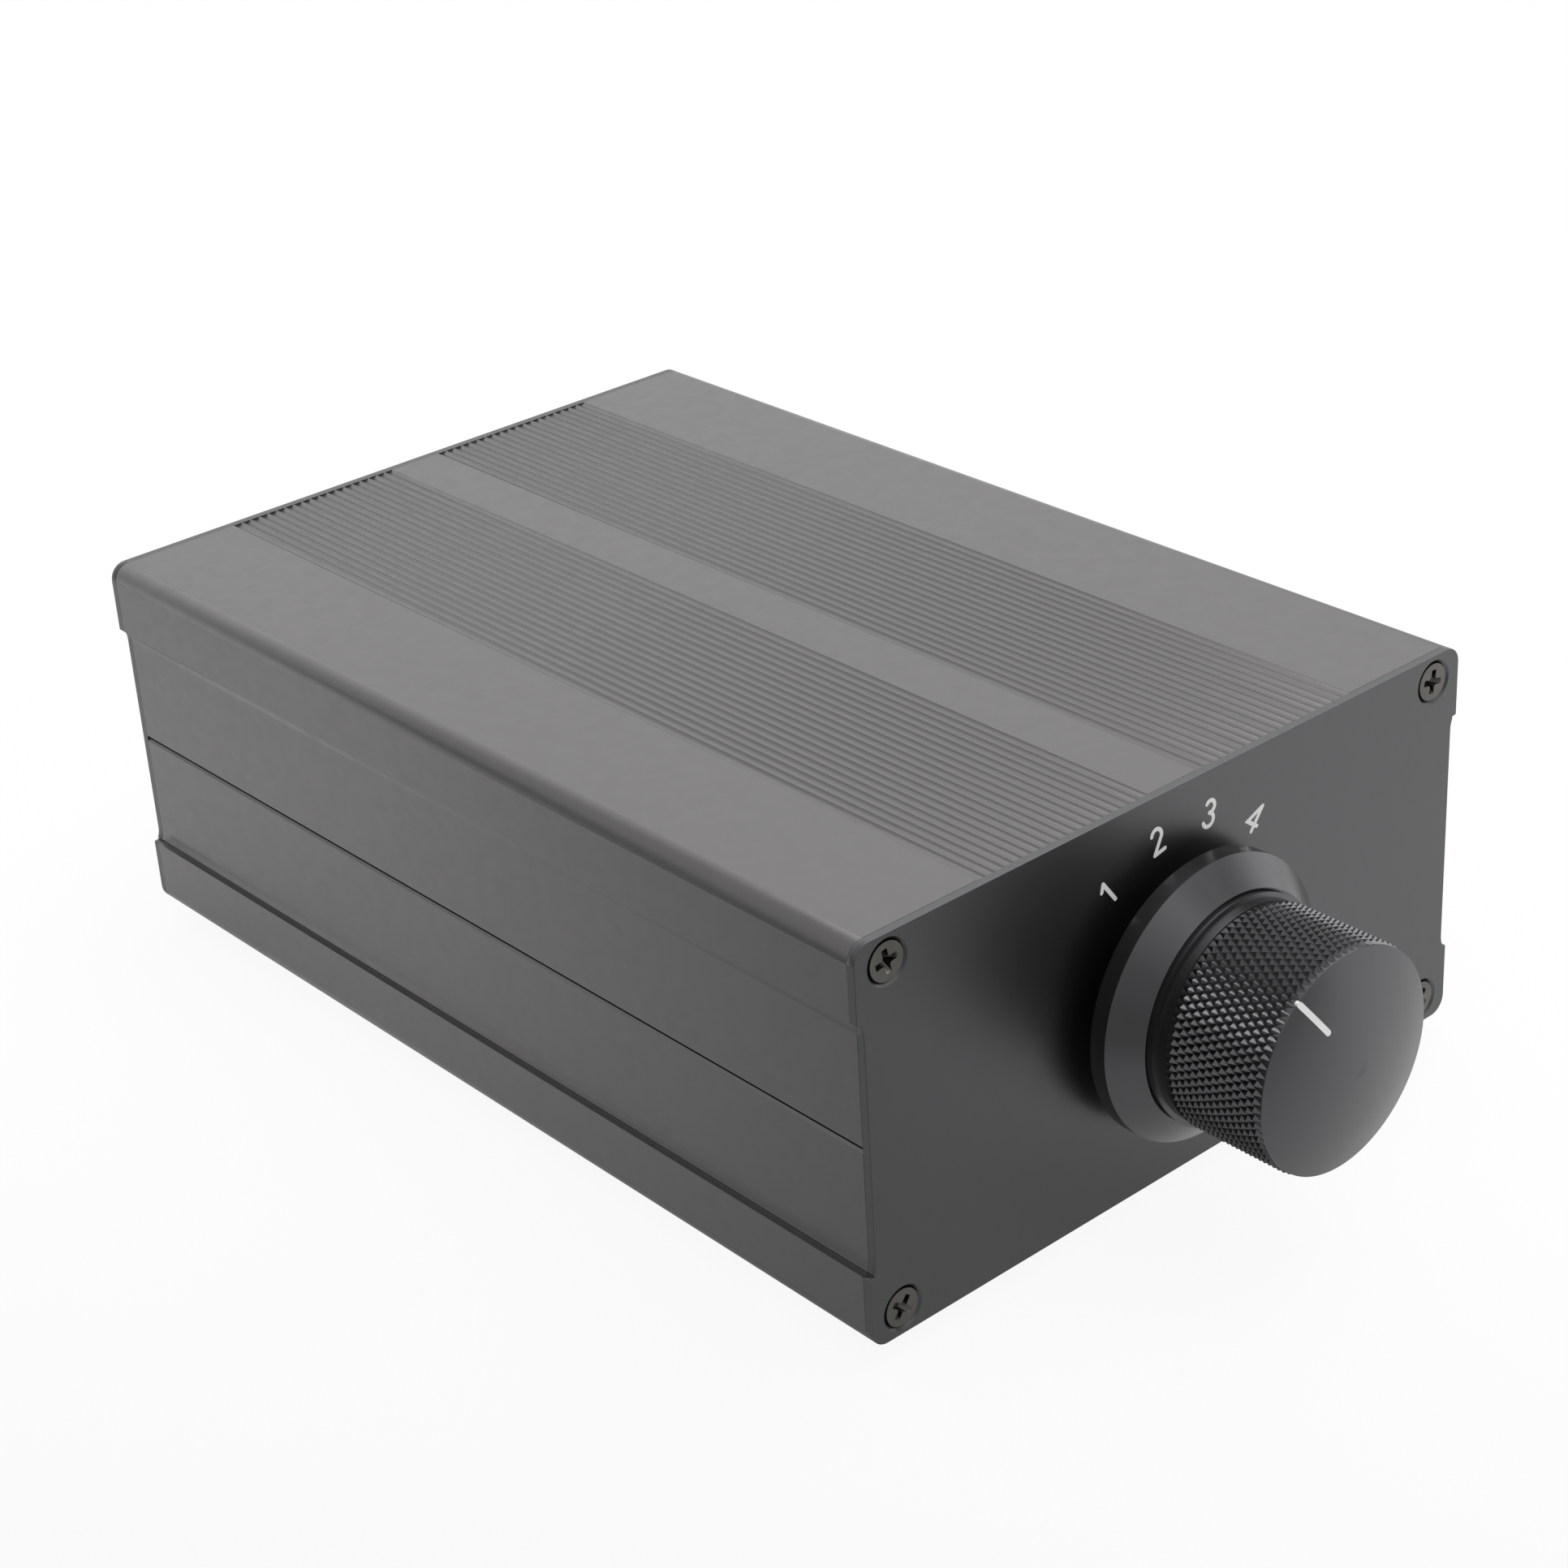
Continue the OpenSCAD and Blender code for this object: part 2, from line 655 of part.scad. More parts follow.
module pointer() {
  color("#f2f2f2") on_selector() difference() {
    intersection() {
      pointer_bar(false);
      under_dome(0, neck_r, dome_z - 2);
    }
    under_dome(pointer_d, skirt_r + 1, dome_z - 3);
  }
}

module grub_screw() {
  color("#2c2c2e") on_selector() translate([0, -flat_y - solder_gap, knurl_z + grub_z]) rotate([90, 0, 0])
    difference() {
    cylinder(h = grub_len, r = grub_r);
    translate([0, 0, grub_len - 1.5]) cylinder(h = 2, r = grub_r * 0.58, $fn = 6);
  }
}

// Round with one flat, for the two ends of the shaft and the hub that it drives
module d_section(r, flat) {
  intersection() {
    circle(r);
    translate([-r - 1, -flat]) square([2 * r + 2, flat + r + 1]);
  }
}

module switch_shaft() {
  color("#b9b9b4") on_selector() difference() {
    translate([0, 0, -rotor_back - 0.3]) cylinder(h = rotor_back + 0.3 + shaft_out, r = shaft_r);
    translate([-shaft_r - 1, -shaft_r - 1 - flat_y, -rotor_back - 1.3])
      cube([2 * shaft_r + 2, shaft_r + 1, rotor_back + 1.3 - mount_z]);
    translate([-shaft_r - 1, -shaft_r - 1 - flat_y, clip_z + clip_t + 0.5])
      cube([2 * shaft_r + 2, shaft_r + 1, shaft_out]);
    translate([0, 0, clip_z - slip_gap]) difference() {
      cylinder(h = clip_t + 2 * slip_gap, r = shaft_r + 1);
      translate([0, 0, -1]) cylinder(h = clip_t + 2 * shaft_r, r = clip_groove_r);
    }
  }
}

module shaft_clip() {
  color("#6d6d6d") on_selector() translate([0, 0, clip_z]) difference() {
    cylinder(h = clip_t, r = clip_r);
    translate([0, 0, -1]) cylinder(h = clip_t + 2, r = clip_groove_r + slip_gap);
    translate([-clip_groove_r * 0.8, 0, -1]) cube([clip_groove_r * 1.6, clip_r + 1, clip_t + 2]);
  }
}

module switch_bush() {
  color("#c9c8c2") on_axis() difference() {
    union() {
      translate([0, 0, -mount_z]) cylinder(h = mount_t, r = body_r);
      translate([0, 0, -plate_t]) cylinder(h = plate_t + bush_out, r = bush_r);
      translate([0, -pin_at, -plate_t]) cylinder(h = plate_t - 0.2, r = pin_r);
    }
    translate([0, 0, -mount_z - 1]) cylinder(h = mount_z + bush_out + 2, r = shaft_r + running_gap);
    rivet_holes();
  }
}

module rivet_holes() {
  for (a = [60, 180, 300]) at_angle(a, rivet_at) {
    translate([0, 0, -wafer_back - 1]) cylinder(h = wafer_back - plate_t + 2, r = rivet_r + slip_gap);
    translate([0, 0, -plate_t - 0.6])
      cylinder(h = 0.7, r1 = rivet_r + slip_gap, r2 = rivet_r + slip_gap + 0.7);
  }
}

module switch_rivets() {
  color("#b5b5ae") on_axis() for (a = [60, 180, 300]) at_angle(a, rivet_at) {
    translate([0, 0, -wafer_back - 0.6]) cylinder(h = 0.6, r = rivet_r * 1.8);
    translate([0, 0, -wafer_back]) cylinder(h = wafer_back - plate_t - 0.6, r = rivet_r);
    translate([0, 0, -plate_t - 0.6]) cylinder(h = 0.55, r1 = rivet_r, r2 = rivet_r + 0.55);
  }
}

// A sector of a ring between two clockwise angles
module sector(r1, r2, a1, a2, h) {
  rotate([0, 0, 90 - a2]) rotate_extrude(angle = a2 - a1) translate([r1, 0]) square([r2 - r1, h]);
}

module switch_housing() {
  last_angle = -first_angle;
  stop_at = lug_half + stop_half + stop_play;
  color("#6b4a2c") on_axis() difference() {
    union() {
      translate([0, 0, -wafer_z]) difference() {
        cylinder(h = body_len, r = body_r);
        translate([0, 0, -1]) cylinder(h = body_len + 2, r = cavity_r);
      }
      for (a = [180 + first_angle - stop_at, 180 + last_angle + stop_at])
        translate([0, 0, -lug_z - lug_t])
          sector(hub_r + 1, cavity_r + 0.5, a - stop_half, a + stop_half, lug_t);
    }
    for (k = [0:floor(360 / notch_step) - 1])
      at_angle(90 + first_angle + k * notch_step, cavity_r + notch_d - ball_r - 0.1)
      translate([0, 0, -detent_back]) cylinder(h = detent_back - mount_z + 1, r = ball_r + 0.1, $fn = 24);
    rivet_holes();
  }
}

module switch_wafer() {
  color("#7a5330") on_axis() difference() {
    translate([0, 0, -wafer_back]) cylinder(h = wafer_t, r = body_r);
    for (p = [0, 180]) {
      for (k = [0:positions - 1]) at_angle(p + first_angle + k * step_angle, contact_at)
        translate([0, 0, -wafer_back - 1]) cylinder(h = wafer_t + 2, r = 0.6 + slip_gap);
      at_angle(p, common_at) translate([0, 0, -wafer_back - 1]) cylinder(h = wafer_t + 2, r = 0.6 + slip_gap);
    }
    rivet_holes();
  }
}

// A pin through the wafer that ends in a flat solder tail
module terminal_pin() {
  translate([0, 0, -wafer_back - 0.4]) cylinder(h = wafer_t + 0.4 + button_t / 2, r = 0.6);
  difference() {
    translate([-0.8, -0.25, -tail_back]) cube([1.6, 0.5, tail_len - 0.1]);
    translate([0, 1, -tail_back + 1.1]) rotate([90, 0, 0]) cylinder(h = 2, r = 0.35);
  }
}

module input_terminals() {
  color("#d8d6cc") on_axis() for (p = [0, 180], k = [0:positions - 1])
    at_angle(p + first_angle + k * step_angle, contact_at) {
      translate([0, 0, -wafer_z]) cylinder(h = button_t, r = 1.1);
      terminal_pin();
    }
}

module common_terminals() {
  reach = -first_angle + 14;
  color("#d8d6cc") on_axis() for (p = [0, 180]) {
    translate([0, 0, -wafer_z]) sector(common_at - 0.9, common_at + 0.9, p - reach, p + reach, button_t);
    at_angle(p, common_at) terminal_pin();
  }
}

module switch_rotor() {
  color("#e6e2d6") on_selector() difference() {
    union() {
      translate([0, 0, -detent_back]) cylinder(h = detent_back - rotor_front, r = rotor_r);
      translate([0, 0, -rotor_back]) cylinder(h = rotor_back - rotor_front, r = hub_r);
      translate([0, 0, -rotor_back]) cylinder(h = 1.6, r = rotor_r);
      translate([0, 0, -lug_z - lug_t])
        sector(hub_r - 0.5, cavity_r - 0.6, 180 - lug_half, 180 + lug_half, lug_t);
    }
    translate([0, 0, -rotor_back - 1]) linear_extrude(rotor_back - rotor_front + 2)
      d_section(shaft_r + slip_gap, flat_y + slip_gap);
    translate([pocket_in, 0, -detent_z]) rotate([0, 90, 0]) cylinder(h = rotor_r, r = pocket_r);
  }
}

// Each wiper joins its middle contact to one outer contact
module rotor_wipers() {
  color("#c9a24a") on_selector() for (p = [0, 180]) rotate([0, 0, p]) {
    translate([-1.1, common_at - 0.9, -rotor_back - wiper_t])
      cube([2.2, contact_at - common_at + 1.8, wiper_t]);
    for (r = [common_at, contact_at])
      translate([0, r, -rotor_back - wiper_t - button_t]) cylinder(h = button_t + 0.1, r = 0.7);
  }
}

module detent_ball() {
  color("#cfcfcf") on_selector() translate([ball_at, 0, -detent_z]) sphere(ball_r);
}

module detent_spring() {
  steps = 10 * spring_turns;
  coil = pocket_r - spring_wire - slip_gap - 0.15;
  from = pocket_in + spring_wire + slip_gap;
  to = ball_at - sqrt(ball_r * ball_r - coil * coil) - spring_wire - slip_gap;
  path = [for (i = [0:steps]) let (a = i * 36)
    [coil * cos(a), coil * sin(a), from + (to - from) * i / steps]];
  color("#bdbdbd") on_selector() translate([0, 0, -detent_z]) rotate([0, 90, 0])
    coil_tube(path, spring_wire, 6);
}

// A tube along a coil about Z: each ring lies in the plane through the coil's axis
module coil_tube(path, r, sides) {
  n = len(path);
  pts = [for (p = path) let (u = unit([p[0], p[1], 0]))
    for (k = [0:sides - 1]) p + r * (cos(k * 360 / sides) * u + sin(k * 360 / sides) * [0, 0, 1])];
  skin = [for (i = [0:n - 2], k = [0:sides - 1], h = [0, 1])
    let (a = i * sides + k, b = i * sides + (k + 1) % sides)
    h == 0 ? [a, b, a + sides] : [b, b + sides, a + sides]];
  ends = [[for (k = [0:sides - 1]) sides - 1 - k], [for (k = [0:sides - 1]) (n - 1) * sides + k]];
  polyhedron(points = pts, faces = concat(skin, ends));
}

module switch_washer() {
  color("#b9b9b4") on_axis() difference() {
    cylinder(h = washer_t, r = washer_r);
    translate([0, 0, -1]) cylinder(h = washer_t + 2, r = bush_r + slip_gap);
  }
}

module switch_nut() {
  color("#b9b9b4") on_axis() translate([0, 0, washer_t]) difference() {
    cylinder(h = nut_t, r = nut_af / 2 / cos(30), $fn = 6);
    translate([0, 0, -1]) cylinder(h = nut_t + 2, r = bush_r + slip_gap);
  }
}

// A coloured insulating ring with the shoulder that centres the socket in the plate
module jack_ring() {
  difference() {
    union() {
      cylinder(h = ring_t, r = ring_r);
      translate([0, 0, 0.05 - plate_t]) cylinder(h = plate_t, r = panel_hole_r);
    }
    translate([0, 0, -plate_t - 1]) cylinder(h = plate_t + ring_t + 2, r = stem_hole_r);
  }
}

module jack_rings_red() {
  color("#a81c1c") for (i = [0:jack_columns - 1]) at_jack(i, -1) jack_ring();
}

module jack_rings_white() {
  color("#e9e9e6") for (i = [0:jack_columns - 1]) at_jack(i, 1) jack_ring();
}

module jack_sleeves() {
  color("#c8a24c") for (i = [0:jack_columns - 1], row = [-1, 1]) at_jack(i, row) difference() {
    union() {
      translate([0, 0, -plate_t - stem_len]) cylinder(h = plate_t + stem_len + flange_z + 0.1, r = stem_r);
      translate([0, 0, flange_z]) cylinder(h = flange_t, r = flange_af / 2 / cos(30), $fn = 6);
      translate([0, 0, sleeve_z]) cylinder(h = sleeve_len, r = sleeve_r);
    }
    translate([0, 0, -plate_t - stem_len - 1]) cylinder(h = plate_t + stem_len + sleeve_end + 2, r = core_r);
  }
}

module jack_insulators() {
  back = plate_t + stem_len - 0.4;
  color("#f0efe8") for (i = [0:jack_columns - 1], row = [-1, 1]) at_jack(i, row) difference() {
    translate([0, 0, -back]) cylinder(h = back + sleeve_end - face_in, r = core_r - slip_gap);
    translate([0, 0, contact_end - pin_bore_len - contact_root])
      cylinder(h = pin_bore_len + contact_root + slip_gap, r = contact_r + slip_gap);
    translate([0, 0, -back - 1]) cylinder(h = back + sleeve_end + 2, r = solder_r + slip_gap);
    translate([0, 0, contact_end - 1]) cylinder(h = face_t + 2, r = pin_bore_r + 0.1);
  }
}

module jack_contacts() {
  low = contact_end - pin_bore_len - contact_root + slip_gap;
  color("#c8a24c") for (i = [0:jack_columns - 1], row = [-1, 1]) at_jack(i, row) difference() {
    union() {
      translate([0, 0, low]) cylinder(h = contact_end - low, r = contact_r);
      translate([0, 0, -solder_len]) cylinder(h = solder_len + low + 0.1, r = solder_r);
    }
    translate([0, 0, contact_end - pin_bore_len]) cylinder(h = pin_bore_len + 1, r = pin_bore_r);
  }
}

module jack_pads() {
  color("#1d1d1d") for (i = [0:jack_columns - 1], row = [-1, 1]) at_jack(i, row)
    translate([0, 0, tag_z]) difference() {
    cylinder(h = pad_t, r = ring_r - 0.4);
    translate([0, 0, -1]) cylinder(h = pad_t + 2, r = stem_hole_r);
  }
}

// The ground tags point at the wire that runs between the two rows
module jack_tags() {
  tip = jack_row / 2 - bus_r - solder_gap;
  color("#d8d6cc") for (i = [0:jack_columns - 1], row = [-1, 1]) at_jack(i, row)
    translate([0, 0, jack_nut_z]) difference() {
    union() {
      cylinder(h = tag_t, r = stem_hole_r + 1.3);
      translate([-1, row > 0 ? 0 : -tip, 0]) cube([2, tip, tag_t]);
    }
    translate([0, 0, -1]) cylinder(h = tag_t + 2, r = stem_hole_r);
  }
}

module jack_nuts() {
  color("#c8a24c") for (i = [0:jack_columns - 1], row = [-1, 1]) at_jack(i, row)
    translate([0, 0, jack_nut_z - jack_nut_t]) difference() {
      cylinder(h = jack_nut_t, r = jack_nut_af / 2 / cos(30), $fn = 6);
      translate([0, 0, -1]) cylinder(h = jack_nut_t + 2, r = stem_hole_r);
    }
}

module ground_wire() {
  span = (jack_columns - 1) * jack_pitch + 2 * bus_spare;
  color("#c9c8c2") translate([-span / 2, y_rear + jack_nut_z + tag_t / 2, z_mid]) rotate([0, 90, 0])
    cylinder(h = span, r = bus_r);
}

// A wire from a solder tail of the switch to the solder pin of a socket, bent towards one height
module signal_wire(from, to, bend) {
  reach = (to[1] - from[1]) * 0.45;
  steps = 22;
  near = [from[0], from[1] + reach, bend];
  far = [to[0], to[1] - reach, bend];
  tube([for (i = [0:steps]) mix3(from, near, far, to, i / steps)], wire_r, 6);
}

function tail_point(a, r) = [r * sin(a), y_front + tail_back + solder_gap, z_mid + r * cos(a)];
function pin_point(i, row) = [jack_x(i), y_rear - solder_len - solder_gap, z_mid + row * jack_row / 2];

module left_wires() {
  color("#e4e4e4") {
    for (k = [0:min(positions, jack_columns - 1) - 1])
      signal_wire(tail_point(first_angle + k * step_angle, contact_at), pin_point(k, 1),
        z_mid + jack_row / 2);
    signal_wire(tail_point(0, common_at), pin_point(jack_columns - 1, 1), z_mid + common_at - 1.5);
  }
}

module right_wires() {
  color("#b02222") {
    for (k = [0:min(positions, jack_columns - 1) - 1])
      signal_wire(tail_point(180 + first_angle + k * step_angle, contact_at), pin_point(k, -1),
        z_mid - wire_drop - wire_spread * k);
    signal_wire(tail_point(180, common_at), pin_point(jack_columns - 1, -1), z_mid - common_at - 0.2);
  }
}

top_shell();
bottom_shell();
front_panel();
rear_panel();
front_screws();
rear_screws();
feet();
switch_bush();
switch_housing();
switch_rivets();
switch_wafer();
input_terminals();
common_terminals();
switch_washer();
switch_nut();
jack_rings_red();
jack_rings_white();
jack_sleeves();
jack_insulators();
jack_contacts();
jack_pads();
jack_tags();
jack_nuts();
ground_wire();
left_wires();
right_wires();
knob();
pointer();
grub_screw();
switch_shaft();
shaft_clip();
switch_rotor();
rotor_wipers();
detent_ball();
detent_spring();
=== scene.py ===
import math

import bmesh
import bpy
from mathutils import Matrix, Vector


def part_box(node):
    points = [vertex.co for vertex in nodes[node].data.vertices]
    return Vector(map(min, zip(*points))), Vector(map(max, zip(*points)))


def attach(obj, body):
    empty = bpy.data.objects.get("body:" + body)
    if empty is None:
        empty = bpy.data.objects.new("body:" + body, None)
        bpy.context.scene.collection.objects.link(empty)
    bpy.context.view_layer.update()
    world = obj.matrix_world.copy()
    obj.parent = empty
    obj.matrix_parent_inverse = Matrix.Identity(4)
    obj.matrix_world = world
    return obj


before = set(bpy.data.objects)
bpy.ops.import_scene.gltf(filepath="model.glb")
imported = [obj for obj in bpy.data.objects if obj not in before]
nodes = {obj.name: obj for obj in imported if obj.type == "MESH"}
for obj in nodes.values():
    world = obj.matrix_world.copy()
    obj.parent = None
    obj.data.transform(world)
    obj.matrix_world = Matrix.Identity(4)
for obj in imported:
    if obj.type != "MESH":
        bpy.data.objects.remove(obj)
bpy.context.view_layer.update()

scene = bpy.context.scene
scene.view_settings.view_transform = "Standard"
MM = 0.001

# Outer faces of the two plates, in metres
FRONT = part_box("front_panel")[0].y
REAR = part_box("rear_panel")[1].y


# Camera, fitted to the photograph's edges, screws and flutes

def make_camera():
    cam = bpy.data.objects.new("camera", bpy.data.cameras.new("camera"))
    scene.collection.objects.link(cam)
    cam.data.sensor_fit = "HORIZONTAL"
    cam.data.sensor_width = 36.0
    cam.data.lens = 74.829
    cam.data.clip_start = 0.01
    cam.data.clip_end = 20.0
    right = Vector((0.748049, -0.661428, -0.054182))
    up = Vector((0.342438, 0.314768, 0.885244))
    back = Vector((-0.568471, -0.680760, 0.461960))
    turn = Matrix((right, up, back)).transposed().to_4x4()
    place = Vector((-0.256583, FRONT - 0.233724, 0.240504))
    cam.matrix_world = Matrix.Translation(place) @ turn
    scene.camera = cam


# Node helpers

class Graph:
    """A small shader graph: nodes are added by type, and links made by name."""

    def __init__(self, tree):
        self.tree = tree
        tree.nodes.clear()

    def fill(self, socket, value):
        """A socket takes a link from another socket, or a plain value."""
        if isinstance(value, bpy.types.NodeSocket):
            self.tree.links.new(value, socket)
        else:
            socket.default_value = value

    def add(self, kind, links=None, **settings):
        node = self.tree.nodes.new(kind)
        for key, value in settings.items():
            setattr(node, key, value)
        for key, value in (links or {}).items():
            self.fill(node.inputs[key], value)
        return node

    def place(self):
        """Object coordinates, which are the shared frame in metres."""
        return self.add("ShaderNodeTexCoord").outputs["Object"]

    def noise(self, scale, detail=2.0, rough=0.5, stretch=(1, 1, 1)):
        where = self.add("ShaderNodeMapping", {"Vector": self.place(), "Scale": stretch}).outputs["Vector"]
        links = {"Vector": where, "Scale": scale, "Detail": detail, "Roughness": rough}
        return self.add("ShaderNodeTexNoise", links).outputs["Fac"]

    def ramp(self, value, low, high, start=0.3, end=0.7, **settings):
        """value from start to end becomes a number from low to high."""
        links = {"Value": value, "From Min": start, "From Max": end, "To Min": low, "To Max": high}
        return self.add("ShaderNodeMapRange", links, **settings).outputs["Result"]

    def maths(self, operation, a, b):
        return self.add("ShaderNodeMath", {0: a, 1: b}, operation=operation).outputs["Value"]

    def dot(self, a, b):
        return self.add("ShaderNodeVectorMath", {0: a, 1: b}, operation="DOT_PRODUCT").outputs["Value"]

    def blend(self, value, a, b):
        node = self.add("ShaderNodeMix", data_type="RGBA")
        self.fill(node.inputs["Factor"], value)
        self.fill(node.inputs["A"], a)
        self.fill(node.inputs["B"], b)
        return node.outputs["Result"]

    def bump(self, height, depth, strength=1.0, under=None):
        links = {"Height": height, "Distance": depth, "Strength": strength}
        if under is not None:
            links["Normal"] = under
        return self.add("ShaderNodeBump", links).outputs["Normal"]

    def surface(self, **links):
        names = {key.replace("_", " "): value for key, value in links.items()}
        shader = self.add("ShaderNodeBsdfPrincipled", names)
        self.add("ShaderNodeOutputMaterial", {"Surface": shader.outputs["BSDF"]})


def opaque(colour, level=1.0):
    """A colour times a level, never over 1, with its alpha."""
    return tuple(min(1.0, c * level) for c in colour) + (1,)


def grey(value):
    return (value, value, value, 1)


def new_material(name):
    material = bpy.data.materials.new(name)
    material.use_nodes = True
    return material, Graph(material.node_tree)


# Materials. A grain is the depth of the bump in mm, and a scale is in cycles per metre.

def anodised(name, shade, rough, grain, hue, ior, lines=False, uneven=0.03):
    """Black anodised aluminium: an etched grain, faint cloudiness and, on an extrusion, the die's lines."""
    material, g = new_material(name)
    cloud = g.noise(scale=38, detail=3)
    fine = g.noise(scale=2600, detail=2, rough=0.6)
    colour = g.blend(g.ramp(cloud, 0, 1), opaque(hue, shade * 0.86), opaque(hue, shade * 1.14))
    normal = g.bump(fine, grain * MM, strength=0.6)
    gloss = g.ramp(g.noise(scale=420, detail=3), rough - uneven, rough + uneven)
    if lines:
        # Long streaks, because the extrusion runs along y
        die = g.noise(scale=1, detail=3, rough=0.65, stretch=(2600, 6, 2600))
        streak = g.ramp(die, 0, 0.35, start=0.35, end=0.7)
        colour = g.blend(streak, colour, opaque(hue, shade * 1.5))
        normal = g.bump(die, grain * 0.5 * MM, strength=0.5, under=normal)
    g.surface(Base_Color=colour, Roughness=gloss, IOR=ior, Specular_Tint=opaque(hue), Normal=normal)
    return material


def plated(name, colour, rough, spread=0.06, dull=0.8):
    """Plated or bare metal with slight unevenness in colour and gloss."""
    material, g = new_material(name)
    cloud = g.noise(scale=160, detail=3)
    tint = g.blend(g.ramp(cloud, 0, 1), opaque(colour, dull), opaque(colour))
    gloss = g.ramp(g.noise(scale=700, detail=2), rough - spread, rough + spread)
    normal = g.bump(g.noise(scale=1800, detail=2), 0.004 * MM, strength=0.5)
    g.surface(Base_Color=tint, Metallic=1.0, Roughness=gloss, Normal=normal)
    return material


def moulded(name, colour, rough, grain=0.01, scale=900.0, contrast=0.1, spread=0.05):
    """Plastic, rubber or paint with a fine surface grain."""
    material, g = new_material(name)
    cloud = g.noise(scale=220, detail=3)
    tint = g.blend(g.ramp(cloud, 0, 1), opaque(colour, 1 - contrast), opaque(colour, 1 + contrast))
    gloss = g.ramp(g.noise(scale=scale * 0.5, detail=2), rough - spread, rough + spread)
    normal = g.bump(g.noise(scale=scale, detail=2), grain * MM, strength=0.7)
    g.surface(Base_Color=tint, Roughness=gloss, Normal=normal)
    return material


def phenolic(name):
    """Moulded brown phenolic with flecks of filler."""
    material, g = new_material(name)
    fleck = g.ramp(g.noise(scale=1500, detail=4, rough=0.7), 0, 1, start=0.56, end=0.7)
    cloud = g.ramp(g.noise(scale=120, detail=3), 0, 1)
    brown = g.blend(cloud, (0.10, 0.045, 0.02, 1), (0.17, 0.08, 0.035, 1))
    colour = g.blend(fleck, brown, (0.33, 0.19, 0.09, 1))
    gloss = g.ramp(fleck, 0.42, 0.6, start=0, end=1)
    normal = g.bump(g.noise(scale=1500, detail=3), 0.02 * MM, strength=0.5)
    g.surface(Base_Color=colour, Roughness=gloss, Normal=normal)
    return material


# By the record's slots. The metal's greys come from its reflections, so its own colour is near black.
MATERIALS = {
    "case_metal": anodised(
        "anodised_case", shade=0.004, rough=0.34, grain=0.006,
        hue=(1.0, 0.972, 0.98), ior=2.28, lines=True),
    "plate_metal": anodised(
        "anodised_plate", shade=0.002, rough=0.37, grain=0.001,
        hue=(0.965, 0.98, 1.0), ior=1.96, uneven=0.01),
    "knob_metal": anodised(
        "anodised_knob", shade=0.002, rough=0.25, grain=0.0015,
        hue=(0.975, 0.96, 1.0), ior=2.0, uneven=0.015),
    "screw_black": plated("blackened_steel", (0.15, 0.142, 0.13), 0.30),
    "white_line": moulded("white_ink", (0.93, 0.93, 0.92), 0.5, grain=0.004, contrast=0.03),
    "foot_rubber": moulded(
        "foot_rubber", (0.018, 0.018, 0.018), 0.75, grain=0.03, scale=1400.0, contrast=0.25),
    "switch_metal": plated("nickel_plate", (0.66, 0.64, 0.60), 0.26),
    "switch_phenolic": phenolic("brown_phenolic"),
    "rotor_plastic": moulded("natural_nylon", (0.70, 0.66, 0.55), 0.45),
    "tinned": plated("tin_plate", (0.72, 0.71, 0.68), 0.34),
    "gold": plated("gold_plate", (0.87, 0.62, 0.25), 0.2, dull=0.88),
    "ring_red": moulded("red_ring", (0.42, 0.012, 0.012), 0.38, grain=0.006),
    "ring_white": moulded("white_ring", (0.76, 0.76, 0.73), 0.38, grain=0.006),
    "insulator_white": moulded("white_insulator", (0.80, 0.79, 0.75), 0.4, grain=0.006),
    "pad_black": moulded("black_fibre", (0.025, 0.024, 0.023), 0.8, grain=0.03, scale=1100.0, contrast=0.3),
    "wire_white": moulded("white_wire", (0.72, 0.72, 0.71), 0.42, grain=0.008),
    "wire_red": moulded("red_wire", (0.46, 0.02, 0.015), 0.42, grain=0.008),
}


def dress_nodes():
    """Each CAD node's slots get the material made here for the record's slot of that name."""
    for node in nodes.values():
        for slot in node.material_slots:
            slot.material = MATERIALS[slot.material.name.split(".")[0]]


# Edges sharper than an angle in degrees are rounded by a width in mm
SOFT_EDGES = {
    "front_panel": (0.2, 50),
    "rear_panel": (0.2, 50),
    "top_shell": (0.1, 60),
    "bottom_shell": (0.1, 60),
    "front_screws": (0.03, 35),
    "rear_screws": (0.03, 35),
}


def soften_edges():
    """Sharp edges get the small rounding that tumbling and anodising leave.

    The CAD meshes have separate triangles, so they are welded before the bevel.
    """
    for name, (width, angle) in SOFT_EDGES.items():
        weld = nodes[name].modifiers.new("weld", "WELD")
        weld.merge_threshold = 0.0001 * MM
        bevel = nodes[name].modifiers.new("soft_edges", "BEVEL")
        bevel.width = width * MM
        bevel.segments = 2
        bevel.limit_method = "ANGLE"
        bevel.angle_limit = math.radians(angle)


# Numerals

def arc(cx, cz, rx, rz, start, end, steps=14):
    """Points on an ellipse about (cx, cz), between two angles in degrees."""
    turns = [math.radians(start + (end - start) * i / steps) for i in range(steps + 1)]
    return [(cx + rx * math.cos(t), cz + rz * math.sin(t)) for t in turns]


# Centre lines in a cell one unit high whose foot is at 0 and whose middle is at x = 0
NUMERALS = {
    "1": [[(-0.17, 0.76), (0.045, 0.95)], [(0.045, 0.95), (0.045, 0.05)]],
    "2": [arc(0, 0.70, 0.22, 0.245, 160, -20) + [(-0.215, 0.07)], [(-0.215, 0.07), (0.25, 0.07)]],
    "3": [arc(-0.01, 0.735, 0.2, 0.21, 155, -90), arc(-0.01, 0.29, 0.235, 0.235, 90, -155)],
    "4": [[(0.13, 0.95), (-0.26, 0.29), (0.29, 0.29)], [(0.13, 0.95), (0.13, 0.05)]],
}

# Thickness of the ink in mm, and how much each stroke of a numeral lies above the one before
INK = 0.025
INK_STEP = 0.006

